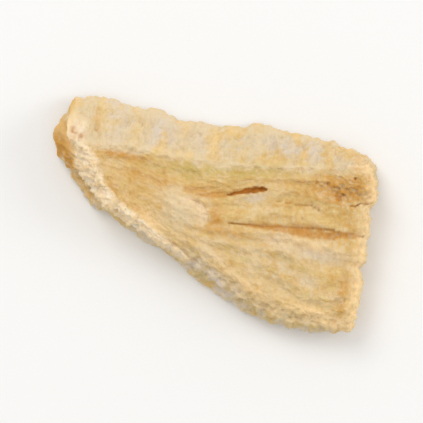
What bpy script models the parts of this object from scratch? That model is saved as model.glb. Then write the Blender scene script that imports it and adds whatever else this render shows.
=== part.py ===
"""One wedge of freeze-dried pineapple, a single solid.

A ring of fruit was cut into wedges and dried in the cold, so the flesh kept its size and turned light
and brittle. The fibres fan out from the narrow core end to the wide rind end. The solid is a block,
cut into a fine grid, lofted across five of those fibres and then raised and sunk by the ridges, the
lip, the swellings and the slits that drying left.

Metres, +Z up. +X runs from the core end to the rind end and +Y towards the broad cut wall. The origin
is the middle of the bounding box, at its bottom.
"""

import math

import bmesh
import bpy
from mathutils import Vector, noise

MM = 0.001

# Driving dimensions
CORE_THICKNESS = 7.2 * MM
RIND_THICKNESS = 6.4 * MM
RIDGE_HEIGHT = 0.32 * MM
RIDGES_ACROSS = 8.0
RIDGE_START = 0.75
RIDGE_MARGIN = 3.5 * MM
RIDGE_DRIFT = 1.2
RIDGE_STRENGTH = 0.55
RIDGE_SEED = 3.7
ROLL_HEIGHT = 0.45 * MM
ROLL_LENGTH = 11.0 * MM
LIP_HEIGHT = 0.9 * MM
LIP_WIDTH = 3.3 * MM
LIP_CREST = 0.55
LIP_SHARE = 0.45
LIP_TAPER = 1.5
LUMP_LENGTH = 2.4 * MM
LUMP_MIDDLE = 0.8
LUMP_SWING = 0.5
FAR_RIM_HEIGHT = 0.4 * MM
FAR_RIM_WIDTH = 1.5 * MM
FAR_RIM_END = 0.45
FAR_RIM_FADE = 0.3
FAR_RIM_LEAST = 0.15
RIND_RIM_HEIGHT = 0.4 * MM
RIND_RIM_PLACE = 1.1 * MM
RIND_RIM_WIDTH = 0.8 * MM
EDGE_DROP = 1.0 * MM
EDGE_WIDTH = 1.9 * MM
NEAR_ROLL_DROP = 0.9 * MM
NEAR_ROLL_WIDTH = 3.2 * MM
NEAR_ROLL_START = 0.15
NEAR_ROLL_FADE = 0.3
WALL_WAVE = 0.45 * MM
WALL_WAVE_LENGTH = 3.2 * MM
CORE_CRUMBLE = 2.0
CORE_CRUMBLE_END = 0.1
UNDER_GROOVE = 0.35 * MM
UNDER_GROOVES_ACROSS = 6.0
UNDER_SEED = 21.0
FOOT_DROP = 0.5 * MM
BOW = 0.7 * MM
BOW_START = 7.0 * MM
BOW_LENGTH = 14.0 * MM
REST_LENGTH = 10.0 * MM
REST_WIDTH = 6.0 * MM
REST_FADE = 3.0 * MM
NOTCH_DEPTH = 0.7 * MM
NOTCH_WIDTH = 0.035
NOTCH_START = 0.9
CORNER_SHARE = 0.05
CORNER_ROUNDS = 12
RIM_ROUNDS = 1

# The grid: how many cells run along the fibres, across them and up the walls
CELLS_ALONG = 62
CELLS_ACROSS = 32
CELLS_UP = 8
CROWDING = 0.45

# Five fibres of the top face, in mm from the core end to the rind end, each with its share of the way across
FIBRES = (
    (0.00, ((-21.5, 1.8), (-18.1, 2.0), (-13.2, 3.3), (-7.1, 4.0), (0.3, 5.4), (13.3, 9.3), (17.8, 11.1))),
    (0.20, ((-19.4, 0.9), (-13.7, 0.3), (-4.5, 0.3), (1.1, 1.9), (5.8, 4.2), (11.0, 6.2), (20.0, 8.2))),
    (0.48, ((-17.6, -1.2), (-11.4, -2.4), (-4.7, -3.4), (2.1, -2.7), (12.4, -0.1), (20.8, 2.0))),
    (0.75, ((-15.6, -2.9), (-9.1, -4.3), (-2.4, -5.5), (4.2, -6.4), (17.1, -6.4), (22.1, -4.5))),
    (1.00, ((-13.5, -5.2), (-7.9, -6.7), (0.7, -8.6), (10.3, -11.5), (15.5, -11.8), (22.7, -10.1))),
)

# The outline of the underside, in mm, as four edges that meet at the corners
FAR_FOOT = ((-22.7, 7.8), (-13.3, 9.0), (-3.9, 9.6), (2.8, 12.0), (9.8, 12.8), (16.0, 12.9), (18.5, 11.9))
NEAR_FOOT = ((-14.6, -5.8), (-7.9, -7.6), (-1.8, -9.6), (6.8, -12.3), (14.0, -13.0), (23.2, -10.3))
CORE_FOOT = ((-22.7, 7.8), (-23.1, 4.4), (-23.2, 1.2), (-21.6, -1.3), (-18.2, -3.5), (-14.6, -5.8))
RIND_FOOT = ((18.5, 11.9), (20.3, 8.5), (20.7, 3.5), (21.9, -1.1), (22.4, -5.9), (23.2, -10.3))

# Where the rind edge is nicked, as shares of its length from the far corner
RIND_NOTCHES = (0.31, 0.65)

# Soft swellings and sinks of the top face: middle, half length, half width, turn in degrees, height, in mm
SWELLINGS = (
    (-4.1, -2.4, 3.8, 2.3, -12.0, 0.8),
    (13.9, -1.1, 6.5, 1.3, 7.0, 0.6),
    (16.7, 9.9, 2.2, 1.9, 30.0, 0.9),
    (-8.9, 2.2, 5.6, 1.0, 4.0, -0.6),
    (-6.5, 0.8, 9.0, 1.2, 2.0, -0.3),
    (4.5, 5.7, 9.0, 1.0, 16.0, -0.3),
    (10.0, -7.7, 8.0, 1.1, -12.0, -0.4),
    (16.5, -3.9, 5.0, 1.0, 3.0, -0.3),
)

# Slits along the fibres: points in mm, half width, height of the floor and how they lean to the rind end
SLITS = {
    "slit_by_far_wall": (((1.2, 1.2), (3.0, 2.3), (4.6, 3.2), (6.3, 3.9)), 0.70 * MM, 5.9 * MM, 0.6),
    "slit_through_middle": (((1.2, -2.6), (8.7, -0.7), (14.5, 0.3), (20.4, 2.0)), 0.90 * MM, 6.2 * MM, 0.8),
}
SLIT_SIDES = 24
SLIT_TOP = 12.0 * MM
SLIT_FLOOR_LENGTH = 0.85
SLIT_FLOOR_WIDTH = 0.45


def smooth_step(value):
    """Ease from 0 to 1 as value goes from 0 to 1."""
    t = min(max(value, 0.0), 1.0)
    return t * t * (3.0 - 2.0 * t)


def through(knots, points, share):
    """Point at a share of the smooth line through points, whose own shares are knots."""
    last = len(points) - 2
    i = 0
    while i < last and share > knots[i + 1]:
        i += 1
    a = points[max(i - 1, 0)]
    b = points[i]
    c = points[i + 1]
    d = points[min(i + 2, last + 1)]
    span = knots[i + 1] - knots[i]
    span_in = knots[i + 1] - knots[max(i - 1, 0)]
    span_out = knots[min(i + 2, last + 1)] - knots[i]
    start = (c - a) * (span / span_in)
    end = (d - b) * (span / span_out)
    t = (share - knots[i]) / span
    return (
        b * (1.0 - t * t * (3.0 - 2.0 * t))
        + c * (t * t * (3.0 - 2.0 * t))
        + start * (t * (1.0 - t) * (1.0 - t))
        - end * (t * t * (1.0 - t))
    )


def smooth_line(points_mm):
    """Turn points in mm into a line that can be read at any share of its length."""
    points = [Vector(point) * MM for point in points_mm]
    lengths = [0.0]
    for before, after in zip(points, points[1:]):
        lengths.append(lengths[-1] + (after - before).length)
    knots = [length / lengths[-1] for length in lengths]
    return lambda share: through(knots, points, share)


fibre_shares = [share for share, points in FIBRES]
fibre_lines = [smooth_line(points) for share, points in FIBRES]
far_foot = smooth_line(FAR_FOOT)
near_foot = smooth_line(NEAR_FOOT)
core_foot = smooth_line(CORE_FOOT)
rind_foot = smooth_line(RIND_FOOT)


def top_point(u, v):
    """Place on the top face, seen from above: u along the fibres, v across them."""
    return through(fibre_shares, [line(u) for line in fibre_lines], v)


def foot_reach(u, v):
    """How far the underside reaches out beyond the top face, shared out between the four edges."""
    far = far_foot(u) - top_point(u, 0.0)
    near = near_foot(u) - top_point(u, 1.0)
    core = core_foot(v) - top_point(0.0, v)
    rind = rind_foot(v) - top_point(1.0, v)
    core_corners = (core_foot(0.0) - top_point(0.0, 0.0)).lerp(core_foot(1.0) - top_point(0.0, 1.0), v)
    rind_corners = (rind_foot(0.0) - top_point(1.0, 0.0)).lerp(rind_foot(1.0) - top_point(1.0, 1.0), v)
    return far.lerp(near, v) + core.lerp(rind, u) - core_corners.lerp(rind_corners, u)


def swelling(at, middle_x, middle_y, half_length, half_width, turn, height):
    """Height of one soft swelling at a place on the top face."""
    offset = at / MM - Vector((middle_x, middle_y))
    angle = math.radians(turn)
    along = (offset.x * math.cos(angle) + offset.y * math.sin(angle)) / half_length
    across = (offset.y * math.cos(angle) - offset.x * math.sin(angle)) / half_width
    return height * MM * math.exp(-(along ** 2) - across ** 2)


def edge_distances(u, v):
    """Rough distances from a place on the top face to its far, near, core and rind edges."""
    here = top_point(u, v)
    return (
        (here - top_point(u, 0.0)).length,
        (here - top_point(u, 1.0)).length,
        (here - top_point(0.0, v)).length,
        (here - top_point(1.0, v)).length,
    )


def bow(at):
    """How far the whole wedge curls up at a place, away from where it rests."""
    return BOW * smooth_step((at.length - BOW_START) / BOW_LENGTH)


def ridges(u, v, across, seed):
    """Waves from -1 to 1 that run along the fibres, drift a little and fade in and out."""
    drift = RIDGE_DRIFT * noise.noise(Vector((u * 3.0, v * 2.5, seed)))
    strength = RIDGE_STRENGTH + (1.0 - RIDGE_STRENGTH) * noise.noise(Vector((u * 4.0, v * 5.0, seed + 5.0)))
    return strength * math.sin(math.tau * (across * v + drift))


def top_height(u, v):
    """Height of the top face: ridges along the fibres, lip, rims, swellings and crumbled edges."""
    at = top_point(u, v)
    far, near, core, rind = edge_distances(u, v)
    height = CORE_THICKNESS + (RIND_THICKNESS - CORE_THICKNESS) * u + bow(at)
    height += ROLL_HEIGHT * noise.noise(Vector((at.x, at.y, 0.0)) / ROLL_LENGTH)
    nearest = min(far, near, core, rind)
    lumps = LUMP_MIDDLE + LUMP_SWING * noise.noise(Vector((at.x, at.y, 0.0)) / LUMP_LENGTH)
    lip_edge = min(core, near + LIP_WIDTH * smooth_step(u / LIP_SHARE) ** LIP_TAPER)
    lip = 1.0 - smooth_step((lip_edge / LIP_WIDTH - LIP_CREST) / (1.0 - LIP_CREST))
    ridge_fade = (1.0 - lip) * smooth_step(u / RIDGE_START) * smooth_step(nearest / RIDGE_MARGIN)
    height += RIDGE_HEIGHT * ridge_fade * ridges(u, v, RIDGES_ACROSS, RIDGE_SEED)
    height += LIP_HEIGHT * lumps * lip
    rim_fade = smooth_step((FAR_RIM_END - u) / FAR_RIM_FADE) + FAR_RIM_LEAST
    height += FAR_RIM_HEIGHT * rim_fade * math.exp(-((far / FAR_RIM_WIDTH) ** 2))
    height += RIND_RIM_HEIGHT * lumps * math.exp(-(((rind - RIND_RIM_PLACE) / RIND_RIM_WIDTH) ** 2))
    for shape in SWELLINGS:
        height += swelling(at, *shape)
    height -= EDGE_DROP * (1.0 - smooth_step(nearest / EDGE_WIDTH))
    roll_fade = smooth_step((u - NEAR_ROLL_START) / NEAR_ROLL_FADE)
    return height - NEAR_ROLL_DROP * roll_fade * (1.0 - smooth_step(near / NEAR_ROLL_WIDTH))


def underside_height(u, v, at):
    """Height of the underside: flat where it rests, with shallow grooves and crumbled edges."""
    off_rest = max(abs(at.x) - REST_LENGTH / 2, abs(at.y) - REST_WIDTH / 2)
    if off_rest < 0.0:
        return 0.0
    groove = UNDER_GROOVE * max(0.0, ridges(u, v, UNDER_GROOVES_ACROSS, UNDER_SEED))
    nearest = min(edge_distances(u, v))
    groove *= smooth_step(u / RIDGE_START) * smooth_step(nearest / RIDGE_MARGIN)
    crumble = FOOT_DROP * (1.0 - smooth_step(nearest / EDGE_WIDTH))
    return groove * smooth_step(off_rest / REST_FADE) + bow(at) + crumble


def notch(v):
    """How far the rind edge is nicked inwards at v."""
    return NOTCH_DEPTH * sum(math.exp(-(((v - place) / NOTCH_WIDTH) ** 2)) for place in RIND_NOTCHES)


def place(u, v, w):
    """Place in the wedge of a point of the unit block: w runs up from the underside to the top face."""
    reach = foot_reach(u, v)
    flat = top_point(u, v) + reach * (1.0 - w)
    lowest = underside_height(u, v, flat)
    z = lowest + (top_height(u, v) - lowest) * w
    centre = top_point(0.5, 0.5) + foot_reach(0.5, 0.5) * (1.0 - w)
    outwards = (flat - centre).normalized()
    nearness = 1.0 - smooth_step(min(edge_distances(u, v)) / EDGE_WIDTH)
    crumble = 1.0 + (CORE_CRUMBLE - 1.0) * smooth_step(1.0 - u / CORE_CRUMBLE_END)
    wave = noise.noise(Vector((flat.x, flat.y, z)) / WALL_WAVE_LENGTH)
    flat = flat + outwards * (WALL_WAVE * crumble * wave * nearness)
    flat.x -= notch(v) * max(0.0, (u - NOTCH_START) / (1.0 - NOTCH_START))
    return Vector((flat.x, flat.y, z))


def crowded(share):
    """Move an even share towards the nearer end, so that cells are finer there."""
    return share - CROWDING * math.sin(math.tau * share) / math.tau


def grid_block():
    """A unit block from 0 to 1 on each axis, cut into cells by planes."""
    mesh = bmesh.new()
    bmesh.ops.create_cube(mesh, size=1.0)
    bmesh.ops.translate(mesh, verts=mesh.verts, vec=(0.5, 0.5, 0.5))
    for axis, cells in enumerate((CELLS_ALONG, CELLS_ACROSS, CELLS_UP)):
        normal = Vector((0.0, 0.0, 0.0))
        normal[axis] = 1.0
        for i in range(1, cells):
            share = i / cells if axis == 2 else crowded(i / cells)
            everything = mesh.verts[:] + mesh.edges[:] + mesh.faces[:]
            bmesh.ops.bisect_plane(mesh, geom=everything, plane_co=normal * share, plane_no=normal)
    return mesh


def is_corner(share):
    """Whether a point of the unit block is by one of the four upright corners of the wedge."""
    return max(min(share.x, 1.0 - share.x), min(share.y, 1.0 - share.y)) < CORNER_SHARE


def is_rim(share):
    """Whether a point of the unit block is on the edge of the top face or of the underside."""
    on_edge = min(share.x, 1.0 - share.x, share.y, 1.0 - share.y) < 1e-6
    return on_edge and min(share.z, 1.0 - share.z) < 1e-6


def box_middle(mesh):
    """Middle of the bottom of the mesh's bounding box."""
    lowest = [min(vert.co[axis] for vert in mesh.verts) for axis in range(3)]
    highest = [max(vert.co[axis] for vert in mesh.verts) for axis in range(3)]
    return Vector(((lowest[0] + highest[0]) / 2, (lowest[1] + highest[1]) / 2, lowest[2]))


def add_object(name, mesh, collection):
    """Put a bmesh in a new object of the collection."""
    data = bpy.data.meshes.new(name)
    mesh.to_mesh(data)
    mesh.free()
    item = bpy.data.objects.new(name, data)
    collection.objects.link(item)
    return item


def add_slit(name, line_mm, half_width, floor, lean, collection):
    """A cutter for one slit: a lens bent along the fibre, narrower at its floor, that leans to one end."""
    mesh = bmesh.new()
    bmesh.ops.create_cone(
        mesh, cap_ends=True, segments=SLIT_SIDES, radius1=SLIT_FLOOR_LENGTH, radius2=1.0, depth=2.0
    )
    line = smooth_line(line_mm)
    for vert in mesh.verts:
        at_top = vert.co.z > 0.0
        share = min(max((vert.co.x + 1.0) / 2.0, 0.0), 1.0)
        forward = (line(min(share + 0.01, 1.0)) - line(max(share - 0.01, 0.0))).normalized()
        across = vert.co.y * (share ** lean) * half_width * (1.0 if at_top else SLIT_FLOOR_WIDTH)
        flat = line(share) + Vector((-forward.y, forward.x)) * across
        vert.co = Vector((flat.x, flat.y, SLIT_TOP if at_top else floor))
    cutter = add_object(name, mesh, collection)
    cutter.hide_render = True
    cutter.display_type = "WIRE"
    return cutter


def flesh_material():
    """Freeze-dried flesh: dry, chalky and without shine."""
    material = bpy.data.materials.new("freeze_dried_flesh")
    material.use_nodes = True
    shader = material.node_tree.nodes["Principled BSDF"]
    shader.inputs["Base Color"].default_value = (0.68, 0.48, 0.21, 1.0)
    shader.inputs["Roughness"].default_value = 0.85
    shader.inputs["Metallic"].default_value = 0.0
    return material


def main():
    for old in list(bpy.data.objects):
        bpy.data.objects.remove(old, do_unlink=True)
    wedge_collection = bpy.data.collections.new("pineapple_wedge")
    cutter_collection = bpy.data.collections.new("slit_cutters")
    for collection in (wedge_collection, cutter_collection):
        bpy.context.scene.collection.children.link(collection)

    mesh = grid_block()
    corners = [vert for vert in mesh.verts if is_corner(vert.co)]
    rims = [vert for vert in mesh.verts if is_rim(vert.co)]
    for vert in mesh.verts:
        vert.co = place(*vert.co)
    for verts, rounds in ((rims, RIM_ROUNDS), (corners, CORNER_ROUNDS)):
        for i in range(rounds):
            bmesh.ops.smooth_vert(
                mesh, verts=verts, factor=0.5, use_axis_x=True, use_axis_y=True, use_axis_z=True
            )
    # The patch it rests on is one flat face
    resting = [face for face in mesh.faces if max(abs(vert.co.z) for vert in face.verts) < 1e-9]
    bmesh.ops.dissolve_faces(mesh, faces=resting, use_verts=True)
    bmesh.ops.recalc_face_normals(mesh, faces=mesh.faces)
    middle = box_middle(mesh)
    bmesh.ops.translate(mesh, verts=mesh.verts, vec=-middle)
    wedge = add_object("wedge", mesh, wedge_collection)
    wedge.data.materials.append(flesh_material())
    wedge.data.shade_smooth()

    for name, (line_mm, half_width, floor, lean) in SLITS.items():
        cut = wedge.modifiers.new(name, "BOOLEAN")
        cut.operation = "DIFFERENCE"
        cut.solver = "EXACT"
        cut.object = add_slit(name, line_mm, half_width, floor, lean, cutter_collection)
        cut.object.location = -middle


main()
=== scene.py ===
import math

import bmesh
import bpy
import numpy as np
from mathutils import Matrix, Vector, kdtree, noise


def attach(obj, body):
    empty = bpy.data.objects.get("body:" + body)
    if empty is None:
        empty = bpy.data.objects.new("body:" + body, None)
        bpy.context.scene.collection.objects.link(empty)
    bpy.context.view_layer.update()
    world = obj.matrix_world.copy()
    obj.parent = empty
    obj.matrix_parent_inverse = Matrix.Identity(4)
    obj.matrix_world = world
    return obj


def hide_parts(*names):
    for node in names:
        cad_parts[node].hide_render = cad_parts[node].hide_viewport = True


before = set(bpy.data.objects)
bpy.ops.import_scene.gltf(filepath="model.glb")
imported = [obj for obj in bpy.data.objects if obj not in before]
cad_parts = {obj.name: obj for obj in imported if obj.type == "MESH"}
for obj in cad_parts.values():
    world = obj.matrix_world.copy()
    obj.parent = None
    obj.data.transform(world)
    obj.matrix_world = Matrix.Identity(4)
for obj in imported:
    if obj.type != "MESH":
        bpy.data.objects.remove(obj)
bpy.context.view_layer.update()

# The wedge's form. A ring of peeled pineapple was cut into wedges with a knife and freeze-dried, so the flesh
# kept its size. The fibres fan out from the narrow core end at -X to the wide rind end at +X, and the form is
# lofted across five of them, as the frame's solid is, from a block that is cut into fine cells.
MM = 0.001

CORE_THICKNESS = 7.2 * MM
RIND_THICKNESS = 6.4 * MM
RIDGE_HEIGHT = 0.32 * MM
RIDGES_ACROSS = 8.0
RIDGE_START = 0.75
RIDGE_MARGIN = 3.5 * MM
RIDGE_DRIFT = 1.2
RIDGE_STRENGTH = 0.55
RIDGE_SEED = 3.7
RIDGE_DRIFTS_ALONG = 3.0
RIDGE_DRIFTS_ACROSS = 2.5
RIDGE_FADES_ALONG = 4.0
RIDGE_FADES_ACROSS = 5.0
RIDGE_FADE_SEED = 5.0
ROLL_HEIGHT = 0.45 * MM
ROLL_LENGTH = 11.0 * MM
LIP_HEIGHT = 0.9 * MM
LIP_WIDTH = 3.3 * MM
LIP_CREST = 0.55
LIP_SHARE = 0.45
LIP_TAPER = 1.5
LUMP_LENGTH = 2.4 * MM
LUMP_MIDDLE = 0.8
LUMP_SWING = 0.5
FAR_RIM_HEIGHT = 0.4 * MM
FAR_RIM_WIDTH = 1.5 * MM
FAR_RIM_END = 0.45
FAR_RIM_FADE = 0.3
FAR_RIM_LEAST = 0.15
RIND_RIM_HEIGHT = 0.4 * MM
RIND_RIM_PLACE = 1.1 * MM
RIND_RIM_WIDTH = 0.8 * MM
EDGE_DROP = 1.0 * MM
EDGE_WIDTH = 1.9 * MM
NEAR_ROLL_DROP = 0.9 * MM
NEAR_ROLL_WIDTH = 3.2 * MM
NEAR_ROLL_START = 0.15
NEAR_ROLL_FADE = 0.3
WALL_WAVE = 0.45 * MM
WALL_WAVE_LENGTH = 3.2 * MM
CORE_CRUMBLE = 2.0
CORE_CRUMBLE_END = 0.1
UNDER_GROOVE = 0.35 * MM
UNDER_GROOVES_ACROSS = 6.0
UNDER_SEED = 21.0
FOOT_DROP = 0.5 * MM
BOW = 0.7 * MM
BOW_START = 7.0 * MM
BOW_LENGTH = 14.0 * MM
REST_LENGTH = 10.0 * MM
REST_WIDTH = 6.0 * MM
REST_FADE = 3.0 * MM
NOTCH_DEPTH = 0.7 * MM
NOTCH_WIDTH = 0.035
NOTCH_START = 0.9
RIND_NOTCHES = (0.31, 0.65)

# Five fibres of the top face, in mm from the core end to the rind end, each with its share of the way across
FIBRES = (
    (0.00, ((-21.5, 1.8), (-18.1, 2.0), (-13.2, 3.3), (-7.1, 4.0), (0.3, 5.4), (13.3, 9.3), (17.8, 11.1))),
    (0.20, ((-19.4, 0.9), (-13.7, 0.3), (-4.5, 0.3), (1.1, 1.9), (5.8, 4.2), (11.0, 6.2), (20.0, 8.2))),
    (0.48, ((-17.6, -1.2), (-11.4, -2.4), (-4.7, -3.4), (2.1, -2.7), (12.4, -0.1), (20.8, 2.0))),
    (0.75, ((-15.6, -2.9), (-9.1, -4.3), (-2.4, -5.5), (4.2, -6.4), (17.1, -6.4), (22.1, -4.5))),
    (1.00, ((-13.5, -5.2), (-7.9, -6.7), (0.7, -8.6), (10.3, -11.5), (15.5, -11.8), (22.7, -10.1))),
)

# The outline of the underside, in mm, as four edges that meet at the corners
FAR_FOOT = ((-22.7, 7.8), (-13.3, 9.0), (-3.9, 9.6), (2.8, 12.0), (9.8, 12.8), (16.0, 12.9), (18.5, 11.9))
NEAR_FOOT = ((-14.6, -5.8), (-7.9, -7.6), (-1.8, -9.6), (6.8, -12.3), (14.0, -13.0), (23.2, -10.3))
CORE_FOOT = ((-22.7, 7.8), (-23.1, 4.4), (-23.2, 1.2), (-21.6, -1.3), (-18.2, -3.5), (-14.6, -5.8))
RIND_FOOT = ((18.5, 11.9), (20.3, 8.5), (20.7, 3.5), (21.9, -1.1), (22.4, -5.9), (23.2, -10.3))

# Soft swellings and sinks of the top face: middle, half length, half width, turn in degrees, height, in mm.
# The last one lowers the thin tip of the lip.
SWELLINGS = (
    (-4.1, -2.4, 3.8, 2.3, -12.0, 0.8),
    (13.9, -1.1, 6.5, 1.3, 7.0, 0.6),
    (16.7, 9.9, 2.2, 1.9, 30.0, 0.9),
    (-8.9, 2.2, 5.6, 1.0, 4.0, -0.6),
    (-6.5, 0.8, 9.0, 1.2, 2.0, -0.3),
    (4.5, 5.7, 9.0, 1.0, 16.0, -0.3),
    (10.0, -7.7, 8.0, 1.1, -12.0, -0.4),
    (16.5, -3.9, 5.0, 1.0, 3.0, -0.3),
    (-21.3, 1.8, 2.0, 1.6, 0.0, -1.0),
)

# The block's cells: along the fibres, across them and up the walls, finer by the edges
CELLS_ALONG = 290
CELLS_ACROSS = 126
CELLS_UP = 24
CROWDING = 0.45
CORNER_SHARE = 0.05
CORNER_ROUNDS = 50
RIM_ROUNDS = 8

# The share of the block and the length in metres that count as none
NO_SHARE = 1e-6
NO_LENGTH = 1e-9


def smooth_step(value):
    """Ease from 0 to 1 as value goes from 0 to 1."""
    t = np.clip(value, 0.0, 1.0)
    return t * t * (3.0 - 2.0 * t)


def fading(distance, width):
    """1 at no distance, falling softly to 0 well beyond the width."""
    return np.exp(-((distance / width) ** 2))


def grain(x, y, z=0.0):
    """Smooth noise at each point, from about -1 to 1 and the same on every run."""
    x, y, z = np.broadcast_arrays(x, y, z)
    return np.array([noise.noise(point) for point in zip(x.tolist(), y.tolist(), z.tolist())])


def through(knots, points, share):
    """Points at shares of the smooth line through points, whose own shares are knots."""
    i = np.clip(np.searchsorted(knots, share, side="right") - 1, 0, len(knots) - 2)
    before, after = np.maximum(i - 1, 0), np.minimum(i + 2, len(knots) - 1)
    which = np.arange(len(share))
    pick = (lambda k: points[k, which]) if points.ndim == 3 else (lambda k: points[k])
    span = knots[i + 1] - knots[i]
    start = (pick(i + 1) - pick(before)) * (span / (knots[i + 1] - knots[before]))[:, None]
    end = (pick(after) - pick(i)) * (span / (knots[after] - knots[i]))[:, None]
    t = ((share - knots[i]) / span)[:, None]
    ease = t * t * (3.0 - 2.0 * t)
    line = pick(i) * (1.0 - ease) + pick(i + 1) * ease
    return line + start * t * (1.0 - t) ** 2 - end * t * t * (1.0 - t)


def smooth_line(points_mm):
    """Turn points in mm into a line that can be read at any shares of its length."""
    points = np.array(points_mm) * MM
    lengths = np.concatenate(([0.0], np.cumsum(np.linalg.norm(np.diff(points, axis=0), axis=1))))
    knots = lengths / lengths[-1]
    return lambda share: through(knots, points, share)


fibre_shares = np.array([share for share, points in FIBRES])
fibre_lines = [smooth_line(points) for share, points in FIBRES]


def top_point(u, v):
    """Places on the top face, seen from above: u along the fibres, v across them."""
    return through(fibre_shares, np.array([line(u) for line in fibre_lines]), v)


def foot_reach(u, v):
    """How far the underside reaches out beyond the top face, shared out between the four edges."""
    zero, one = np.zeros_like(u), np.ones_like(u)
    across, along = v[:, None], u[:, None]
    far = smooth_line(FAR_FOOT)(u) - top_point(u, zero)
    near = smooth_line(NEAR_FOOT)(u) - top_point(u, one)
    core = smooth_line(CORE_FOOT)(v) - top_point(zero, v)
    rind = smooth_line(RIND_FOOT)(v) - top_point(one, v)
    corner = {}
    for name, foot, end in (("core", CORE_FOOT, zero), ("rind", RIND_FOOT, one)):
        first = np.array(foot[0]) * MM - top_point(end, zero)
        last = np.array(foot[-1]) * MM - top_point(end, one)
        corner[name] = first * (1.0 - across) + last * across
    sides = far * (1.0 - across) + near * across + core * (1.0 - along) + rind * along
    return sides - corner["core"] * (1.0 - along) - corner["rind"] * along


def oval(flat, middle_x, middle_y, half_length, half_width, turn):
    """A soft oval spot in mm: 1 in its middle and 0 well outside it."""
    x, y = flat[:, 0] / MM - middle_x, flat[:, 1] / MM - middle_y
    angle = math.radians(turn)
    along = (x * math.cos(angle) + y * math.sin(angle)) / half_length
    across = (y * math.cos(angle) - x * math.sin(angle)) / half_width
    return np.exp(-(along ** 2) - across ** 2)


def bow(flat):
    """How far the whole wedge curls up at a place, away from where it rests."""
    return BOW * smooth_step((np.linalg.norm(flat, axis=1) - BOW_START) / BOW_LENGTH)


def ridges(u, v, across, seed):
    """Waves from -1 to 1 that run along the fibres, drift a little and fade in and out."""
    wander = RIDGE_DRIFT * grain(u * RIDGE_DRIFTS_ALONG, v * RIDGE_DRIFTS_ACROSS, seed)
    fades = grain(u * RIDGE_FADES_ALONG, v * RIDGE_FADES_ACROSS, seed + RIDGE_FADE_SEED)
    strength = RIDGE_STRENGTH + (1.0 - RIDGE_STRENGTH) * fades
    return strength * np.sin(math.tau * (across * v + wander))


block = bmesh.new()
bmesh.ops.create_cube(block, size=1.0)
bmesh.ops.translate(block, verts=block.verts, vec=(0.5, 0.5, 0.5))
for axis, cells in enumerate((CELLS_ALONG, CELLS_ACROSS, CELLS_UP)):
    running = [edge for edge in block.edges if abs(edge.verts[0].co[axis] - edge.verts[1].co[axis]) > 0.5]
    bmesh.ops.subdivide_edges(block, edges=running, cuts=cells - 1, use_grid_fill=True)
bmesh.ops.recalc_face_normals(block, faces=block.faces)
form = bpy.data.meshes.new("dried_wedge")
block.to_mesh(form)
block.free()

shares = np.empty(len(form.vertices) * 3)
form.vertices.foreach_get("co", shares)
u, v, w = shares.reshape(-1, 3).T
u = u - CROWDING * np.sin(math.tau * u) / math.tau
v = v - CROWDING * np.sin(math.tau * v) / math.tau
zero, one = np.zeros_like(u), np.ones_like(u)

top = top_point(u, v)
far = np.linalg.norm(top - top_point(u, zero), axis=1)
near = np.linalg.norm(top - top_point(u, one), axis=1)
core = np.linalg.norm(top - top_point(zero, v), axis=1)
rind = np.linalg.norm(top - top_point(one, v), axis=1)
nearest = np.minimum.reduce((far, near, core, rind))
flat = top + foot_reach(u, v) * (1.0 - w)[:, None]
on_top = w > 1.0 - NO_SHARE
underside = w < NO_SHARE
on_rim = nearest < NO_LENGTH

top_height = CORE_THICKNESS + (RIND_THICKNESS - CORE_THICKNESS) * u + bow(top)
top_height += ROLL_HEIGHT * grain(*(top / ROLL_LENGTH).T)
lumps = LUMP_MIDDLE + LUMP_SWING * grain(*(top / LUMP_LENGTH).T)
lip_edge = np.minimum(core, near + LIP_WIDTH * smooth_step(u / LIP_SHARE) ** LIP_TAPER)
lip = 1.0 - smooth_step((lip_edge / LIP_WIDTH - LIP_CREST) / (1.0 - LIP_CREST))
ridge_fade = smooth_step(u / RIDGE_START) * smooth_step(nearest / RIDGE_MARGIN)
top_height += RIDGE_HEIGHT * (1.0 - lip) * ridge_fade * ridges(u, v, RIDGES_ACROSS, RIDGE_SEED)
top_height += LIP_HEIGHT * lumps * lip
rim_fade = smooth_step((FAR_RIM_END - u) / FAR_RIM_FADE) + FAR_RIM_LEAST
top_height += FAR_RIM_HEIGHT * rim_fade * fading(far, FAR_RIM_WIDTH)
top_height += RIND_RIM_HEIGHT * lumps * fading(rind - RIND_RIM_PLACE, RIND_RIM_WIDTH)
for *spot, rise in SWELLINGS:
    top_height += rise * MM * oval(top, *spot)
edge_fall = 1.0 - smooth_step(nearest / EDGE_WIDTH)
top_height -= EDGE_DROP * edge_fall
roll_fade = smooth_step((u - NEAR_ROLL_START) / NEAR_ROLL_FADE)
top_height -= NEAR_ROLL_DROP * roll_fade * (1.0 - smooth_step(near / NEAR_ROLL_WIDTH))

off_rest = np.maximum(np.abs(flat[:, 0]) - REST_LENGTH / 2, np.abs(flat[:, 1]) - REST_WIDTH / 2)
rest_fade = smooth_step(off_rest / REST_FADE)
grooves = np.maximum(0.0, ridges(u, v, UNDER_GROOVES_ACROSS, UNDER_SEED))
under_height = UNDER_GROOVE * grooves * ridge_fade * rest_fade + bow(flat) + FOOT_DROP * edge_fall
under_height[off_rest < 0.0] = 0.0

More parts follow.
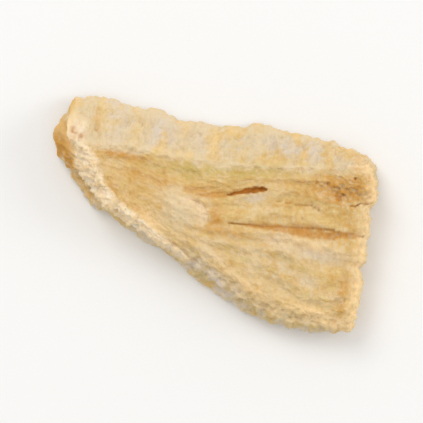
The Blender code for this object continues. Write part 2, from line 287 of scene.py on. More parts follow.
height = under_height + (top_height - under_height) * w
midway = np.array([0.5])
outwards = flat - top_point(midway, midway) - foot_reach(midway, midway) * (1.0 - w)[:, None]
outwards /= np.maximum(np.linalg.norm(outwards, axis=1), NO_LENGTH)[:, None]
wave = grain(*(np.column_stack((flat, height)) / WALL_WAVE_LENGTH).T)
crumble = 1.0 + (CORE_CRUMBLE - 1.0) * smooth_step(1.0 - u / CORE_CRUMBLE_END)
flat = flat + outwards * (WALL_WAVE * crumble * wave * edge_fall)[:, None]
nicks = sum(fading(v - place, NOTCH_WIDTH) for place in RIND_NOTCHES)
flat[:, 0] -= NOTCH_DEPTH * nicks * np.maximum(0.0, (u - NOTCH_START) / (1.0 - NOTCH_START))
places = np.column_stack((flat, height))
form.vertices.foreach_set("co", places.ravel())


def soften(chosen, rounds):
    """Even out the chosen points of the form with their neighbours."""
    mesh = bmesh.new()
    mesh.from_mesh(form)
    mesh.verts.ensure_lookup_table()
    verts = [mesh.verts[i] for i in np.flatnonzero(chosen)]
    for i in range(rounds):
        bmesh.ops.smooth_vert(
            mesh, verts=verts, factor=0.5, use_axis_x=True, use_axis_y=True, use_axis_z=True
        )
    mesh.to_mesh(form)
    mesh.free()


# The knife's corners are blunted by handling, most at the four upright ones
soften(on_rim & (underside | on_top), RIM_ROUNDS)
soften(np.maximum(np.minimum(u, 1.0 - u), np.minimum(v, 1.0 - v)) < CORNER_SHARE, CORNER_ROUNDS)

places = np.empty(len(form.vertices) * 3)
form.vertices.foreach_get("co", places)
places = places.reshape(-1, 3)
low, high = places.min(axis=0), places.max(axis=0)
shift = np.array(((low[0] + high[0]) / 2, (low[1] + high[1]) / 2, low[2]))
# The loft runs from the far side to the near one, which turned the block inside out, so its normals point
# into the wedge
inwards = np.empty(len(form.vertices) * 3)
form.vertex_normals.foreach_get("vector", inwards)
inwards = inwards.reshape(-1, 3)

# The wedge's surface. Freeze-dried flesh is a brittle foam of fine fibres and spongy lumps. It has split
# along the fibres where it shrank, and its cut walls are chalky, with faint streaks and crumbled ends.
# The real fibres and cells are finer than a pixel, so these are as coarse as they need to be to show.

# The relief is pressed into the form: a height here is how far a mark goes in, and the depth of a pit or a
# crease is how far it stands out. Only the slits and the pores are cut straight down.
STRANDS = (
    # bundles across the wedge, pieces along it, height in mm
    (13.0, 9.0, 0.24),
    (30.0, 20.0, 0.18),
    (60.0, 45.0, 0.13),
)
# The width of the whole wedge, in mm, at which its strands start to show and at which they all do
CROWDED_WIDTH = 9.0
LOOSE_WIDTH = 22.0
SHARE_STEP = 0.01
# The strands come and go in patches, and the underside has others than the top face
PATCHES_ALONG = 8.0
PATCHES_ACROSS = 5.0
PATCHY_MIDDLE = 0.7
PATCHY_SWING = 1.1
PATCHY_LEAST = 0.1
PATCHY_MOST = 1.3
UNDER_STRANDS_SEED = 11.0
# How the strands, the ruffles of the lip and the fine fibres wander: waves along and across the wedge, seed
# and how far they go
MEANDERS = ((5.0, 4.0, 31.0, 0.040), (25.0, 12.0, 37.0, 0.012))
RUFFLE_DRIFT = (20.0, 6.0, 43.0, 0.6)
FIBRE_DRIFT = (9.0, 3.0, 51.0, 1.0)
SPONGE = (
    # size of a lump and its height, in mm
    (2.6, 0.16),
    (1.2, 0.13),
    (0.6, 0.12),
    (0.35, 0.08),
)
ROUGHENED = 0.7
ROUNDING = 2.2
MEAN_LUMP = 0.5
MEAN_THREAD = 0.4
PIT_LENGTH = 0.55 * MM
PIT_DEPTH = 0.22 * MM
PIT_LEVEL = 0.28
STREAK_HEIGHT = 0.34 * MM
STREAK_WIDTH = 1.3 * MM
STREAK_LENGTH = 6.0 * MM
WAVE_HEIGHT = 0.45 * MM
WAVE_LENGTH = 4.5 * MM
WAVE_RISE = 3.0 * MM
CRUMB_LENGTH = 1.2 * MM
CRUMB_HEIGHT = 0.33 * MM
END_REACH = 2.6 * MM
RIND_CRUMBS = 0.5
FACE_FADE = 2.4 * MM
# The lip is ruffled, from a share of the way up its walls, and its walls are calmer than the others
LIP_FOOT = 0.35
LIP_FADE = 0.5
LIP_CALM = 0.6
RUFFLES_ACROSS = 13.0
RUFFLES_ALONG = 26.0
RUFFLE_SEED = 47.0
RUFFLE_HEIGHT = 0.35 * MM
# Creases that part the lip into folds: middle, half length, half width and turn, in mm and degrees, and depth
LIP_CREASES = (
    (-12.3, -4.4, 1.9, 0.40, 65.0, 0.55),
    (-17.0, -0.9, 1.5, 0.35, 40.0, 0.30),
    (-9.3, -5.6, 1.3, 0.30, 75.0, 0.30),
    (-15.0, -2.7, 1.2, 0.30, 55.0, 0.30),
)
# The thin tip where the lip meets the far wall is calmer: middle, half length, half width and turn
TIP = (-21.3, 1.8, 2.0, 1.6, 0.0)
TIP_CALM = 0.6
# The lip's highest crumbs are worn down
WORN_HEIGHT = 8.4 * MM
WORN_SHARE = 0.4
# The thin edge of the flake on the swelling by the core end, steep on the side away from its middle
CREST = ((-4.6, -0.7), (-3.0, -0.4), (-1.2, -1.0), (-0.2, -2.3), (-0.2, -3.9))
CREST_HEIGHT = 0.9 * MM
CREST_WIDTH = 0.8 * MM
CREST_STEEP_WIDTH = 0.2 * MM
FLAKE_MIDDLE = (-3.6, -3.2)
# Crinkled flesh by the rind: middle, half length, half width and turn, in mm and degrees
CRINKLED = (16.2, 6.8, 4.2, 2.0, 14.0)
CRINKLE_LENGTH = 0.8 * MM
CRINKLE_WIDTH = 0.48 * MM
CRINKLE_HEIGHT = 0.50 * MM
CRINKLE_MIDDLE = 0.6
CRINKLE_SEED = 60.0
# Slits along the fibres: points in mm, then half width, depth in mm and how far each leans to the rind end
SLITS = (
    (((-2.9, -0.1), (-0.2, 0.8), (1.9, 1.8), (3.6, 3.0)), 0.55, 0.30, 0.4),
    (((1.2, 1.2), (3.0, 2.3), (4.6, 3.2), (6.3, 3.9)), 0.68, 0.85, 0.6),
    (((1.2, -2.6), (8.7, -0.7), (14.5, 0.3), (20.4, 2.0)), 0.90, 0.50, 0.8),
    (((2.0, -2.2), (4.1, -1.8), (6.7, -1.1), (9.6, -0.4)), 0.16, 0.60, 0.5),
    (((6.5, -1.1), (9.5, -0.2), (11.6, 0.2), (14.5, 1.0), (16.5, 1.6)), 0.22, 0.58, 0.2),
    (((7.1, 2.5), (8.8, 2.9), (10.6, 3.2), (12.4, 3.6), (14.0, 3.4)), 0.17, 0.35, 0.3),
    (((16.2, 4.9), (18.1, 5.4), (19.1, 6.1), (20.8, 6.6)), 0.20, 0.45, 0.5),
)
SLIT_STEEPNESS = 2.0
RAGGED = 0.6
RAGGED_LENGTH = 0.9 * MM
RAGGED_SEED = 5.0
# Pores: middle and radius in mm
PORES = (
    (15.7, 5.8, 0.35),
    (15.2, 6.2, 0.28),
    (16.1, 6.5, 0.25),
    (12.2, 6.8, 0.26),
    (13.7, 7.1, 0.28),
    (16.9, 8.9, 0.26),
    (14.6, 7.0, 0.18),
    (6.2, -5.2, 0.25),
)
PORE_DEPTH = 0.45 * MM
# The underside swells only where the relief is below a margin, and its edge is softened
UNDER_MARGIN = 0.35 * MM
UNDER_GAP = 0.05 * MM
UNDER_REACH = 1.6 * MM
UNDER_SOFT = 1.0 * MM
FOOT_FADE = 0.8 * MM
FOOT_SHARE = 0.8
FOOT_SOFT = 0.5 * MM
FOOT_ROUNDS = 3
# Off the lip, the rim of the top face is softened too
EDGE_SOFT = 0.3 * MM
EDGE_FOOT = 0.9
EDGE_LIP = 0.5
EDGE_ROUNDS = 2


def along_line(flat, points_mm, steps=60):
    """For each place, its distance from a smooth line and its share of the way along it."""
    line = smooth_line(points_mm)(np.linspace(0.0, 1.0, steps))
    best = np.full(len(flat), np.inf)
    share = np.zeros(len(flat))
    for i in range(steps - 1):
        step = line[i + 1] - line[i]
        t = np.clip((flat - line[i]) @ step / (step @ step), 0.0, 1.0)
        gap = np.linalg.norm(flat - line[i] - t[:, None] * step, axis=1)
        closer = gap < best
        best[closer] = gap[closer]
        share[closer] = ((i + t) / (steps - 1))[closer]
    return best, share


def rounded(x, y, z):
    """Rounded lumps or strands with sharp creases between them, from 0 in a crease to 1."""
    return np.minimum(np.abs(grain(x, y, z)) * ROUNDING, 1.0)


def drift(along, across, seed, strength):
    """Noise over the wedge, in waves along and across it."""
    return strength * grain(u * along, v * across, seed)


on_face = np.where(on_top | underside, smooth_step(nearest / FACE_FADE), 0.0)
core_crumbs = 1.0 - smooth_step(core / END_REACH)
rind_crumbs = RIND_CRUMBS * (1.0 - smooth_step(rind / END_REACH))
end_wall = np.maximum(core_crumbs, rind_crumbs)
lip_share = lip * smooth_step((w - LIP_FOOT) / LIP_FADE)

ahead, behind = top_point(u, v + SHARE_STEP), top_point(u, v - SHARE_STEP)
width_mm = np.linalg.norm(ahead - behind, axis=1) / (2.0 * SHARE_STEP) / MM
looseness = smooth_step((width_mm - CROWDED_WIDTH) / (LOOSE_WIDTH - CROWDED_WIDTH))
meander = v + sum(drift(*wander) for wander in MEANDERS)
side_seed = np.where(w > 0.5, 0.0, UNDER_STRANDS_SEED)
strands = np.zeros_like(u)
for across, along, strand_height in STRANDS:
    patches = PATCHY_MIDDLE + drift(PATCHES_ALONG, PATCHES_ACROSS, across, PATCHY_SWING)
    patchy = np.clip(patches, PATCHY_LEAST, PATCHY_MOST) * looseness * on_face * (1.0 - lip_share)
    strand = rounded(u * along, meander * across, side_seed + across)
    strands += strand_height * MM * patchy * strand
# The finest strands, for painted light on their ridges and painted shade in their creases
thread_light_and_shade = patchy * (strand - MEAN_THREAD)

sponge = sum(tall * MM * (rounded(*(places / (length * MM)).T) - MEAN_LUMP) for length, tall in SPONGE)
pits = np.maximum(0.0, grain(*(places / PIT_LENGTH).T) - PIT_LEVEL) / (1.0 - PIT_LEVEL)
streaks = rounded(*(places / (STREAK_WIDTH, STREAK_WIDTH, STREAK_LENGTH)).T) - MEAN_LUMP
waves = grain(*(places / (WAVE_LENGTH, WAVE_LENGTH, WAVE_RISE)).T)
crumbs = rounded(*(places / CRUMB_LENGTH).T) - MEAN_LUMP + grain(*(places / CRUMB_LENGTH).T)
ruffles = rounded(v * RUFFLES_ACROSS + drift(*RUFFLE_DRIFT), u * RUFFLES_ALONG, RUFFLE_SEED) - MEAN_LUMP
walls = STREAK_HEIGHT * streaks * (1.0 - end_wall) + CRUMB_HEIGHT * crumbs * end_wall + WAVE_HEIGHT * waves
relief = strands + walls * (1.0 - on_face) * (1.0 - LIP_CALM * lip_share)
relief += RUFFLE_HEIGHT * ruffles * lip_share
rough = np.maximum.reduce((lip_share, end_wall, 1.0 - on_face))
relief += sponge * (1.0 + ROUGHENED * rough) - PIT_DEPTH * pits

crest_gap, crest_share = along_line(top, CREST)
crest = fading(crest_gap, CREST_WIDTH) * np.sqrt(np.sin(math.pi * crest_share)) * on_top
flake_middle = np.array(FLAKE_MIDDLE) * MM
flake_reach = np.linalg.norm(smooth_line(CREST)(crest_share) - flake_middle, axis=1)
beyond = np.linalg.norm(top - flake_middle, axis=1) > flake_reach
crest *= np.where(beyond, 1.0 - smooth_step(crest_gap / CREST_STEEP_WIDTH), 1.0)
crinkled = oval(top, *CRINKLED) * on_top
crinkle = rounded(top[:, 0] / CRINKLE_LENGTH, top[:, 1] / CRINKLE_WIDTH, CRINKLE_SEED)
relief += CREST_HEIGHT * crest + CRINKLE_HEIGHT * crinkled * (crinkle - CRINKLE_MIDDLE)
creased = sum(depth * oval(top, *shape) for *shape, depth in LIP_CREASES) * lip_share
relief -= creased * MM

slit_depth = np.zeros_like(u)
ragged = 1.0 + RAGGED * grain(*(top / RAGGED_LENGTH).T, RAGGED_SEED)
for points_mm, half_width, depth, lean in SLITS:
    gap, share = along_line(top, points_mm)
    lens = np.sqrt(np.maximum(1.0 - (2.0 * share - 1.0) ** 2, 0.0)) * share ** lean
    half = np.maximum(half_width * MM * lens * ragged, NO_LENGTH)
    inside = np.clip(1.0 - (gap / half) ** 2, 0.0, 1.0)
    slit_depth = np.maximum(slit_depth, depth * MM * np.minimum(1.0, SLIT_STEEPNESS * inside))
for x, y, radius in PORES:
    slit_depth = np.maximum(slit_depth, PORE_DEPTH * oval(top, x, y, radius, radius, 0.0))
slit_depth *= on_top

# The underside only swells, and never below the flat middle that the wedge lies on, and it follows its
# crumbled rim
foot_rim = underside & on_rim
inner = underside & ~on_rim
off_foot = smooth_step(np.where(underside, nearest, w * height) / FOOT_FADE)
swells = np.minimum(relief - UNDER_MARGIN, 0.0) * rest_fade * off_foot
relief = np.where(inner, swells, relief * (FOOT_SHARE + (1.0 - FOOT_SHARE) * off_foot))
relief *= 1.0 - TIP_CALM * oval(top, *TIP)
inwards[:, 2] *= np.where(inner, 1.0, off_foot)
moved = inwards * relief[:, None]
rim_tree = kdtree.KDTree(int(foot_rim.sum()))
for i in np.flatnonzero(foot_rim):
    rim_tree.insert(places[i], i)
rim_tree.balance()
for i in np.flatnonzero(inner & (nearest < UNDER_REACH)):
    found, rim_point, gap = rim_tree.find(places[i])
    moved[i] += moved[rim_point] * (1.0 - smooth_step(gap / UNDER_REACH))
places = places - shift + moved
places[:, 2] = np.maximum(places[:, 2] - slit_depth, np.where(w > 0.0, UNDER_GAP, 0.0))
places[:, 2] -= WORN_SHARE * np.maximum(places[:, 2] - WORN_HEIGHT, 0.0)
form.vertices.foreach_set("co", places.ravel())
soften(np.where(underside, nearest < UNDER_SOFT, w * height < FOOT_SOFT), FOOT_ROUNDS)
soften((nearest < EDGE_SOFT) & (w > EDGE_FOOT) & (lip_share < EDGE_LIP), EDGE_ROUNDS)

# Last, the faces are turned outwards, which moves no point
outer = bmesh.new()
outer.from_mesh(form)
bmesh.ops.recalc_face_normals(outer, faces=outer.faces)
outer.to_mesh(form)
outer.free()
form.update()
form.shade_smooth()

# The wedge's colour. The flesh is straw yellow, with patches of cream, gold and olive, cream on its chalky
# walls, pale pith on the lip and amber in the slits. Light and shade are painted on too: painted light glows
# through the thin edges and lies as highlight on the crest, ridges and near rim, and painted shade lies in
# grooves, creases, pits and slits and on the near and core end walls.
# Each spot is a middle, half length, half width, turn in degrees and strength.
OLIVE_SPOTS = (
    (1.0, 4.8, 11.0, 1.1, 17.0, 1.0),
    (-10.5, 1.6, 4.0, 1.4, 5.0, 0.4),
    (13.0, -4.4, 3.5, 0.9, -8.0, 0.7),
    (5.0, -5.5, 4.5, 0.7, -15.0, 0.5),
    (16.0, -8.2, 4.5, 1.2, -10.0, 0.6),
    (-18.0, 6.0, 0.8, 2.2, 10.0, 0.5),
)
GOLD_SPOTS = (
    # Painted shade in the dip under the far rim
    (-13.6, 2.0, 3.2, 0.8, 8.0, 0.9),
    (-8.5, 0.2, 5.0, 1.0, 0.0, 0.5),
    (16.0, 7.0, 4.4, 1.9, 12.0, 0.8),
    (16.1, 10.4, 0.8, 0.6, 0.0, 1.5),
    (11.5, 6.6, 5.0, 0.4, 19.0, 0.35),
    (-19.1, 8.6, 3.0, 0.7, 19.0, 1.1),
    (-18.2, 5.5, 2.2, 0.4, 109.0, 0.8),
    (-2.5, 0.6, 2.6, 0.7, 12.0, 0.7),
    (2.4, -3.4, 3.0, 0.7, 10.0, 0.5),
    # Painted shadow beside the flake's crest
    (0.8, -2.0, 0.7, 1.6, 15.0, 1.0),
    (20.3, -6.0, 1.0, 4.5, 5.0, 0.5),
    (16.6, 11.4, 1.8, 1.3, -30.0, 0.5),
    (-20.6, -0.4, 2.4, 1.6, -50.0, 0.55),
    (8.3, 10.0, 4.5, 1.4, 12.0, 0.25),
)
CREAM_SPOTS = (
    (-4.1, -2.4, 3.4, 2.0, -12.0, 1.0),
    (14.2, -1.9, 6.5, 1.3, 7.0, 1.1),
    (5.1, 2.4, 2.0, 0.7, 20.0, 0.5),
    (-20.1, 4.4, 2.2, 0.5, 109.0, 1.2),
    (3.5, -7.3, 7.0, 0.9, -20.0, 0.7),
    (12.6, -5.6, 8.0, 1.0, -12.0, 0.8),
    (8.0, -6.5, 13.0, 4.0, -14.0, 0.45),
    (9.0, 4.8, 4.0, 0.6, 10.0, 0.3),
    (12.0, 8.6, 5.0, 1.0, 20.0, 0.5),
)
COOL_SPOTS = (
    (-16.0, 6.5, 2.6, 1.6, 100.0, 1.0),
    (-9.5, 6.4, 2.6, 1.6, 95.0, 0.9),
    (-2.0, 7.8, 3.0, 1.4, 20.0, 0.5),
    (8.5, 10.2, 4.0, 1.2, 10.0, 0.8),
    (14.2, 11.2, 3.0, 1.0, 0.0, 0.4),
    (10.4, -1.9, 2.2, 0.6, 14.0, 1.0),
    (15.0, -2.4, 4.0, 0.9, 5.0, 0.8),
    (5.3, 2.2, 1.4, 0.6, 25.0, 0.9),
    (3.0, -9.6, 4.0, 1.4, -25.0, 0.6),
)
# Spots of painted light: glow and highlight on the knob by the rind, on the ridge below the long slit and
# along the near rim
PAINTED_LIGHT_SPOTS = (
    (17.0, 11.0, 1.8, 1.4, -30.0, 0.7),
    (13.2, -1.6, 5.5, 0.9, 6.0, 0.75),
    (-7.0, -5.5, 3.0, 1.2, -24.0, 0.7),
    (19.0, -9.9, 5.0, 0.9, -6.0, 1.0),
    (8.0, -9.2, 7.0, 0.5, -22.0, 0.7),
)
AMBER_SPOTS = (
    (-20.6, 2.6, 0.9, 0.45, 109.0, 0.65),
    (-19.4, 2.7, 0.7, 0.4, 60.0, 0.6),
)
# Where the pale skin has crumbled off and golden flesh shows
BARE_SPOTS = (
    (-20.6, -0.4, 2.4, 1.6, -50.0, 1.0),
    (16.6, 11.4, 1.8, 1.3, -30.0, 0.5),
)

# What lays each colour on, in the order of the colours: the strongest of some sums of masks, then the masks
# that are added to it. A number is how much of its mask counts.
MIXTURES = {
    # Olive: patches of the flesh's own colour, and painted shade on the near and core end walls
    "olive": (
        ({"olive_spots": 1.0},),
        {"near_wall_shade": 0.45, "near_shade_mottle": -0.25, "core_wall": 0.4, "fleck": 0.25, "face_patch": -0.4},
    ),
    # Gold: patches of the flesh's own colour, and painted shade in the strands' grooves, the creases, pits
    # and slits and on the core end wall, with less of it on the ridges
    "gold": (
        ({"gold_spots": 1.0},),
        {
            "groove_shade": 0.3, "core_wall": 0.5, "pits": 0.6, "fleck": 0.3, "patch": -0.2, "slit": 1.2,
            "near_shade_mottle": -0.25, "thread_light_and_shade": -0.5, "crinkle_light_and_shade": -0.8,
        },
    ),
    # Cream: the chalky walls and pale patches, and painted highlight on the crest, the near rim and the
    # ridges of strands and crinkles; less of it gives painted shade on the near and core end walls
    "cream": (
        (
            {"cream_spots": 1.0},
            {"off_face": 1.0, "mottle": 0.8, "far_wall": -0.35},
            {"lip": 0.9},
            {"near_rim_highlight": 0.7},
            {"crest": 1.2},
        ),
        {
            "fleck": 0.45, "face_patch": 0.45, "core_wall": -0.6, "near_wall_shade": -0.75, "underside": 0.4,
            "under_patch": 0.3, "thread_light_and_shade": 0.6, "crinkle_light_and_shade": 0.8, "bare_spots": -0.5,
        },
    ),
    # Cool: pale grey patches, and the grey in the near wall's painted shade
    "cool": (
        ({"cool_spots": 0.6, "cool_mottle": 1.3, "cool_fleck": 0.4},),
        {"near_wall_shade": 0.25, "near_shade_mottle": 0.3},
    ),
    # Painted light: the glow of light through the thin rind edge and the lip, and highlight on the crest and
    # on its spots
    "painted_light": (
        ({"rind_edge_glow": 1.0}, {"lip": 0.8, "lip_crease_shade": -1.2}, {"crest": 0.7}, {"painted_light_spots": 1.0}),
        {"fleck": 0.3, "wall_mottle": -0.4, "bare_spots": -0.4},
    ),
    # The lip's own pale pith colour, with painted highlight on its ruffles' ridges and on the crest, and
    # painted shade in its ruffles' grooves and in its creases
    "pith_and_highlight": (
        ({"lip": 0.8, "ruffle_light_and_shade": 0.9, "lip_fleck": 0.2, "lip_crease_shade": -1.6}, {"crest": 0.8}),
        {"bare_spots": -0.5},
    ),
    # Amber: spots on the far wall, and the slits' colour, partly painted shade
    "amber": (
        ({"deep_slit": 1.0}, {"amber_spots": 1.0, "amber_fleck": 1.0}),
        {},
    ),
}

# Blotches and flecks through the whole wedge: length in mm and strength
BLOTCHES = ((3.0, 1.0), (1.2, 0.5))
FLECKS = ((0.7, 1.0), (0.315, 0.5))
# The mottle runs round the walls, in upright marks of a width in mm
FORM_LENGTH_MM = 45.0
FORM_WIDTH_MM = 20.0
MOTTLE_WIDTH_MM = 1.9
MOTTLE_DRIFT = 0.4
MOTTLES_UP = 1.4
MOTTLE_SEED = 71.0
MOTTLE = 1.5
MOTTLE_PATCH = 0.4
MOTTLE_FLECK = 0.3
# How far the colours of the walls and edges reach, and from which share of the way up or along
WALL_FADE = 0.5 * MM
FAR_WALL_START = 0.25
FAR_WALL_FADE = 0.4
CORE_WALL_TOP = 0.9
CORE_WALL_FADE = 0.4
NEAR_EDGE_WIDTH = 1.6 * MM
RIND_EDGE_WIDTH = 1.2 * MM
RIND_EDGE_START = 0.4
RIND_EDGE_LEAST = 0.4
OFF_FACE_MOST = 0.95
OFF_FACE_FALL = 1.6
LOW_STRAND = 0.6
AMBER_DEPTH = 0.8 * MM
AMBER_SHARPNESS = 3


def spots(shapes):
    """The strongest of some soft oval spots, laid on from above."""
    return np.maximum.reduce([strength * oval(flat, *shape) for *shape, strength in shapes]) * (w > 0.0)


def scattered(sizes):
    """Noise through the whole wedge."""
    return sum(strength * grain(*(places / (length * MM)).T) for length, strength in sizes)


def wall_below(distance):
    """1 on the wall below an edge of the top face, at a distance from that edge, and 0 off it."""
    return (1.0 - on_top) * fading(distance, WALL_FADE)


fleck = scattered(FLECKS)
patch = scattered(BLOTCHES)
round_walls = (u * FORM_LENGTH_MM + v * FORM_WIDTH_MM) / MOTTLE_WIDTH_MM + MOTTLE_DRIFT * patch
mottle = MOTTLE * grain(round_walls, MOTTLES_UP * w, MOTTLE_SEED)
mottle = (mottle + MOTTLE_PATCH * patch + MOTTLE_FLECK * fleck) * (1.0 - on_face)
# The near wall faces away from the light, and its shade is painted on: greyer, more olive and less cream,
# mottled with paler grey patches
near_wall_shade = wall_below(near)
cool_spots = spots(COOL_SPOTS)
amber_spots = spots(AMBER_SPOTS)
low_level = LOW_STRAND * MM * sum(strand_height for across, along, strand_height in STRANDS)
rind_rise = smooth_step((w - RIND_EDGE_START) / (1.0 - RIND_EDGE_START))
masks = {
    "olive_spots": spots(OLIVE_SPOTS),
    "gold_spots": spots(GOLD_SPOTS),
    "cream_spots": spots(CREAM_SPOTS),
    "cool_spots": cool_spots,
    "cool_mottle": cool_spots * mottle,
    "cool_fleck": cool_spots * fleck,
    "painted_light_spots": spots(PAINTED_LIGHT_SPOTS),
    "amber_spots": amber_spots,
    "amber_fleck": amber_spots * fleck,
    "bare_spots": spots(BARE_SPOTS),
    "fleck": fleck,
    "patch": patch,
    "face_patch": patch * on_face,
    "mottle": mottle,
    "wall_mottle": mottle * (1.0 - on_top) * (1.0 - lip_share),
    "off_face": np.clip(OFF_FACE_MOST - OFF_FACE_FALL * on_face, 0.0, 1.0),
    "near_wall_shade": near_wall_shade,
    "near_shade_mottle": near_wall_shade * mottle,
    # Painted highlight along the near rim of the top face
    "near_rim_highlight": fading(near, NEAR_EDGE_WIDTH) * on_top,
    "far_wall": wall_below(far) * smooth_step((u - FAR_WALL_START) / FAR_WALL_FADE),
    # The core end wall is darker and more olive, partly its crumbled flesh's own colour and partly painted
    # shade
    "core_wall": wall_below(core) * smooth_step((CORE_WALL_TOP - w) / CORE_WALL_FADE),
    # Painted glow of light through the thin rind edge, strongest towards its top
    "rind_edge_glow": fading(rind, RIND_EDGE_WIDTH) * (RIND_EDGE_LEAST + (1.0 - RIND_EDGE_LEAST) * rind_rise),
    "underside": underside,
    "under_patch": underside * patch,
    "lip": lip_share,
    # Painted light on the ridges of the lip's ruffles and painted shade in their grooves
    "ruffle_light_and_shade": lip_share * ruffles,
    "lip_fleck": lip_share * fleck,
    # Painted shade in the creases between the lip's folds
    "lip_crease_shade": lip_share * creased,
    # Painted highlight along the flake's crest
    "crest": crest,
    # Painted light on the crinkles' ridges and painted shade in their creases
    "crinkle_light_and_shade": crinkled * (crinkle - MEAN_THREAD),
    # Painted shade in the grooves between the strands
    "groove_shade": np.clip(1.0 - strands / low_level, 0.0, 1.0) * on_face * (1.0 - lip_share),
    "thread_light_and_shade": thread_light_and_shade,
    # Painted shade in the pits
    "pits": pits,
    # The slits' gold and amber are partly the flesh's own colour and partly painted shade
    "slit": slit_depth / MM,
    "deep_slit": (slit_depth / AMBER_DEPTH) ** AMBER_SHARPNESS,
}


def mixed(amounts):
    """The sum of some masks, each as much as its amount says."""
    return sum(amount * masks[name] for name, amount in amounts.items())


for name, (strongest, added) in MIXTURES.items():
    values = np.maximum.reduce([mixed(amounts) for amounts in strongest]) + mixed(added)
    attribute = form.attributes.new(name, "FLOAT", "POINT")
    attribute.data.foreach_set("value", np.clip(values, 0.0, 1.0).astype(np.float32))
fibre = form.attributes.new("fibre", "FLOAT_VECTOR", "POINT")
across_mm = np.sign(v - 0.5) * np.linalg.norm(top - top_point(u, 0.5 * one), axis=1) / MM
fibre_mm = np.column_stack((u * FORM_LENGTH_MM, across_mm + drift(*FIBRE_DRIFT), places[:, 2] / MM))
fibre.data.foreach_set("vector", fibre_mm.astype(np.float32).ravel())

wedge = bpy.data.objects.new("dried_wedge", form)
bpy.context.scene.collection.objects.link(wedge)


def linear(hex_colour):
    """Turn an sRGB hex colour to linear red, green, blue and alpha."""
    parts = [int(hex_colour[i:i + 2], 16) / 255.0 for i in (1, 3, 5)]
    return [c / 12.92 if c <= 0.04045 else ((c + 0.055) / 1.055) ** 2.4 for c in parts] + [1.0]


def add_node(tree, kind, settings=None, links=None):
    """Add a node, set its inputs and properties and link its inputs."""
    node = tree.nodes.new(kind)
    for name, value in (settings or {}).items():
        if isinstance(name, str) and hasattr(node, name):
            setattr(node, name, value)
        else:
            node.inputs[name].default_value = value
    for name, socket in (links or {}).items():
        tree.links.new(socket, node.inputs[name])
    return node


# Freeze-dried flesh: dry, chalky and without shine, with a little light passing through its thin walls.
# Fibres of pale straw run through it under the colours, and dried sugar speckles it.
STRAW = "#dcb874"
PALE_STRAW = "#ebd198"
LAID_ON = {
    # olive patches, and painted shade on the near and core end walls
    "olive": "#c9b36a",
    # gold patches, and painted shade in grooves, creases, pits and slits
    "gold": "#d29947",
    # cream walls and patches, and painted highlight on ridges, the crest and the near rim
    "cream": "#e3cca4",
    # pale grey patches, and the grey of the near wall's painted shade
    "cool": "#dfd0bd",
    # painted light: glow through the thin edges and highlight on the crest and ridges
    "painted_light": "#fbd9a3",
    # the lip's pale pith, with painted highlight on its ruffles and the crest
    "pith_and_highlight": "#fce9cb",
    # amber spots, and the slits' amber, partly painted shade
    "amber": "#bd7c30",
}
SUGAR = "#cf9f55"
FIBRE_LENGTH_MM = 4.0
FIBRE_WIDTH_MM = 0.6
SPECKLE_MM = 0.7
GRAIN_MM = 0.22
GRAIN_DEPTH = 0.15 * MM
LIGHT_DEPTH = 0.6 * MM

flesh = bpy.data.materials.new("freeze_dried_flesh")
flesh.use_nodes = True
tree = flesh.node_tree
shader = tree.nodes["Principled BSDF"]
shader.inputs["Roughness"].default_value = 0.9
shader.inputs["Specular IOR Level"].default_value = 0.25
shader.inputs["Subsurface Weight"].default_value = 0.2
shader.inputs["Subsurface Radius"].default_value = (1.0, 0.65, 0.35)
shader.inputs["Subsurface Scale"].default_value = LIGHT_DEPTH

fibre_read = add_node(tree, "ShaderNodeAttribute", {"attribute_name": "fibre"})
fibre_map = add_node(
    tree,
    "ShaderNodeMapping",
    {"Scale": (1.0 / FIBRE_LENGTH_MM, 1.0 / FIBRE_WIDTH_MM, 1.0 / FIBRE_WIDTH_MM)},
    {"Vector": fibre_read.outputs["Vector"]},
)
fibre_noise = add_node(
    tree,
    "ShaderNodeTexNoise",
    {"Scale": 1.0, "Detail": 3.0, "Roughness": 0.6},
    {"Vector": fibre_map.outputs[0]},
)
fibre_share = add_node(
    tree, "ShaderNodeMapRange", {"From Min": 0.35, "From Max": 0.70}, {"Value": fibre_noise.outputs["Fac"]}
)
colour = add_node(
    tree,
    "ShaderNodeMix",
    {"data_type": "RGBA", 6: linear(STRAW), 7: linear(PALE_STRAW)},
    {0: fibre_share.outputs["Result"]},
)
for name, hex_colour in LAID_ON.items():
    mask = add_node(tree, "ShaderNodeAttribute", {"attribute_name": name})
    colour = add_node(
        tree,
        "ShaderNodeMix",
        {"data_type": "RGBA", 7: linear(hex_colour)},
        {0: mask.outputs["Fac"], 6: colour.outputs[2]},
    )
places_read = add_node(tree, "ShaderNodeTexCoord")
speckle = add_node(
    tree,
    "ShaderNodeTexNoise",
    {"Scale": 1.0 / (SPECKLE_MM * MM), "Detail": 3.0, "Roughness": 0.7},
    {"Vector": places_read.outputs["Object"]},
)
speckle_share = add_node(
    tree,
    "ShaderNodeMapRange",
    {"From Min": 0.52, "From Max": 0.75, "To Max": 0.35},
    {"Value": speckle.outputs["Fac"]},
)
colour = add_node(
    tree,
    "ShaderNodeMix",
    {"data_type": "RGBA", 7: linear(SUGAR)},
    {0: speckle_share.outputs["Result"], 6: colour.outputs[2]},
)
tree.links.new(colour.outputs[2], shader.inputs["Base Color"])

pores = add_node(
    tree,
    "ShaderNodeTexNoise",
    {"Scale": 1.0 / (GRAIN_MM * MM), "Detail": 2.0, "Roughness": 0.5},
    {"Vector": places_read.outputs["Object"]},
)
bump = add_node(
    tree, "ShaderNodeBump", {"Strength": 1.0, "Distance": GRAIN_DEPTH}, {"Height": pores.outputs["Fac"]}
)
tree.links.new(bump.outputs["Normal"], shader.inputs["Normal"])
form.materials.append(flesh)

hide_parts("wedge")
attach(wedge, "root")

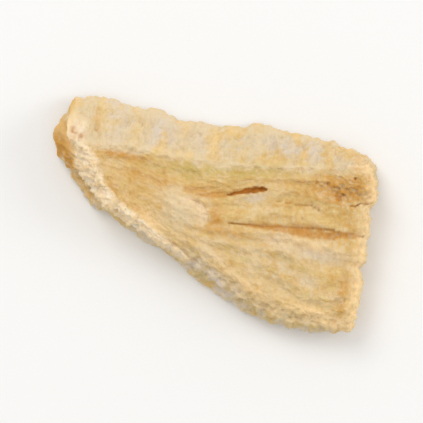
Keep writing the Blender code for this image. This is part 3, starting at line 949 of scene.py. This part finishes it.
# The stage: a plain pale floor, soft studio light from the far side and the right, and a camera straight
# above, turned so that the wedge lies as it does in the pile
FLOOR_SIZE = 2.0
FLOOR_COLOUR = "#f4f3f1"
floor_mesh = bmesh.new()
bmesh.ops.create_grid(floor_mesh, x_segments=1, y_segments=1, size=FLOOR_SIZE / 2)
floor_data = bpy.data.meshes.new("floor")
floor_mesh.to_mesh(floor_data)
floor_mesh.free()
floor = bpy.data.objects.new("floor", floor_data)
bpy.context.scene.collection.objects.link(floor)
paper = bpy.data.materials.new("pale_paper")
paper.use_nodes = True
paper.node_tree.nodes["Principled BSDF"].inputs["Base Color"].default_value = linear(FLOOR_COLOUR)
paper.node_tree.nodes["Principled BSDF"].inputs["Roughness"].default_value = 0.9
floor_data.materials.append(paper)

VIEW_TURN = math.radians(19.0)
VIEW_HEIGHT = 0.50
VIEW_WIDTH = 0.057
VIEW_MIDDLE = (0.2 * MM - shift[0], -1.4 * MM - shift[1])
SENSOR_WIDTH_MM = 36.0
camera_data = bpy.data.cameras.new("camera")
camera_data.sensor_width = SENSOR_WIDTH_MM
camera_data.lens = SENSOR_WIDTH_MM * VIEW_HEIGHT / VIEW_WIDTH
camera = bpy.data.objects.new("camera", camera_data)
camera.location = (VIEW_MIDDLE[0], VIEW_MIDDLE[1], VIEW_HEIGHT)
camera.rotation_euler = (0.0, 0.0, VIEW_TURN)
bpy.context.scene.collection.objects.link(camera)
bpy.context.scene.camera = camera


def add_area(name, place, size, watts):
    """A soft square lamp that points at the wedge, at a place that turns with the camera."""
    lamp = bpy.data.lights.new(name, "AREA")
    lamp.size = size
    lamp.energy = watts
    item = bpy.data.objects.new(name, lamp)
    turned = Vector(place)
    turned.rotate(camera.rotation_euler)
    item.location = turned
    item.rotation_euler = (-turned).to_track_quat("-Z", "Y").to_euler()
    bpy.context.scene.collection.objects.link(item)


add_area("key", (-0.30, 0.50, 0.75), 0.5, 3.2)
add_area("fill", (0.75, 0.05, 0.45), 0.4, 1.6)

world = bpy.data.worlds.new("studio")
world.use_nodes = True
world.node_tree.nodes["Background"].inputs["Color"].default_value = linear("#ffffff")
world.node_tree.nodes["Background"].inputs["Strength"].default_value = 0.70
bpy.context.scene.world = world
bpy.context.scene.view_settings.view_transform = "Standard"
